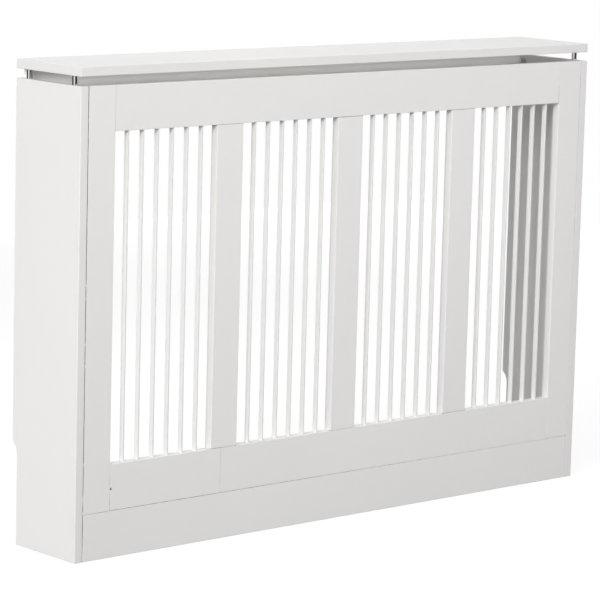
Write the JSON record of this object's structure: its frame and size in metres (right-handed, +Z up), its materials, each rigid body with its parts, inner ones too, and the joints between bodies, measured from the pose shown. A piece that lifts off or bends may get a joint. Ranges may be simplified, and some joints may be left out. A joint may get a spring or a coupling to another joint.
{
  "type": "radiator cover cabinet",
  "caption": "Flat-pack radiator cover of painted board with a slatted grille, open back and floor, skirting notches and a top board raised on short chrome posts.",
  "frame": {"origin": "on the floor, under the middle of the cabinet's length and depth", "axes": "+X along the cabinet from its left end to its right end as seen from the room, +Y from the grille to the wall, +Z up"},
  "size_m": [1.12, 0.168, 0.78],
  "materials": {
    "side_paint": "satin white paint on board",
    "top_paint": "satin white paint on board",
    "grille_paint": "satin white paint on board",
    "slat_paint": "satin white paint on board",
    "plinth_paint": "satin white paint on board",
    "rear_rail_paint": "satin white paint on board",
    "post_chrome": "polished",
    "cam_metal": "dull zinc",
    "steel_fastener": "zinc plated",
    "bracket_steel": "white coated",
    "dowel_wood": "bare beech"
  },
  "bodies": {
    "root": {"bottom_rail_left": "grille_paint", "bottom_rail_right": "grille_paint", "bracket_screws": "steel_fastener", "frame_cam_bolts": "steel_fastener", "frame_cams": "cam_metal", "frame_dowels": "dowel_wood", "front_stile_left": "grille_paint", "front_stile_right": "grille_paint", "mid_stile_1": "grille_paint", "mid_stile_2": "grille_paint", "mid_stile_3": "grille_paint", "panel_dowels": "dowel_wood", "plinth_board": "plinth_paint", "plinth_cam_bolts": "steel_fastener", "plinth_cams": "cam_metal", "post_bolts": "steel_fastener", "post_cams": "cam_metal", "post_front_left": "post_chrome", "post_front_right": "post_chrome", "post_rear_left": "post_chrome", "post_rear_right": "post_chrome", "rear_rail_cam_bolts": "steel_fastener", "rear_rail_cams": "cam_metal", "rear_top_rail": "rear_rail_paint", "side_panel_left": "side_paint", "side_panel_right": "side_paint", "slat_01": "slat_paint", "slat_02": "slat_paint", "slat_03": "slat_paint", "slat_04": "slat_paint", "slat_05": "slat_paint", "slat_06": "slat_paint", "slat_07": "slat_paint", "slat_08": "slat_paint", "slat_09": "slat_paint", "slat_10": "slat_paint", "slat_11": "slat_paint", "slat_12": "slat_paint", "slat_13": "slat_paint", "slat_14": "slat_paint", "slat_15": "slat_paint", "slat_16": "slat_paint", "slat_17": "slat_paint", "slat_18": "slat_paint", "slat_19": "slat_paint", "slat_20": "slat_paint", "slat_21": "slat_paint", "slat_22": "slat_paint", "slat_23": "slat_paint", "slat_24": "slat_paint", "top_board": "top_paint", "top_board_inserts": "steel_fastener", "top_rail": "grille_paint", "wall_bracket_left": "bracket_steel", "wall_bracket_right": "bracket_steel"}
  },
  "joints": []
}
